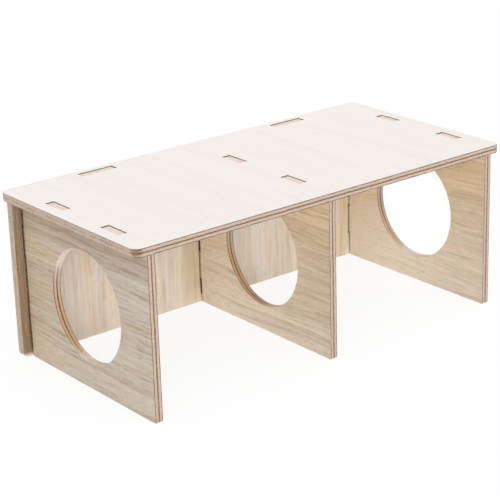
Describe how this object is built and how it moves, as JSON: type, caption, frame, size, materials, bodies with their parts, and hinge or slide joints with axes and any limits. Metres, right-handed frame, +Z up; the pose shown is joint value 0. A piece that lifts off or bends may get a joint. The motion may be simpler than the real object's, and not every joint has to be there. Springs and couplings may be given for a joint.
{
  "type": "hamster house",
  "caption": "Long, low plug-together plywood hide for a pet hamster: open-fronted rooms under a flat lift-off roof, joined by large round doorways through the upright dividers.",
  "frame": {"origin": "on the floor, at the centre of the footprint, which is the roof's outline", "axes": "+X along the length, left to right as seen from the open front; +Y from the open front to the back panel; +Z up"},
  "size_m": [0.32, 0.158, 0.12],
  "materials": {
    "roof_plywood": "raw poplar plywood, finely sanded, cut edges lightly toasted",
    "back_plywood": "raw plywood with upright grain, sanded",
    "divider_plywood": "raw plywood with grain running front to back, sanded"
  },
  "bodies": {
    "stand": {"back_panel": "back_plywood", "left_divider": "divider_plywood", "middle_divider": "divider_plywood", "right_divider": "divider_plywood"},
    "roof": {"roof_panel": "roof_plywood"}
  },
  "joints": [
    {"name": "roof_lift", "type": "slide", "parent": "stand", "child": "roof", "axis": [0, 0, 1], "range_m": [0, 0.04]}
  ]
}
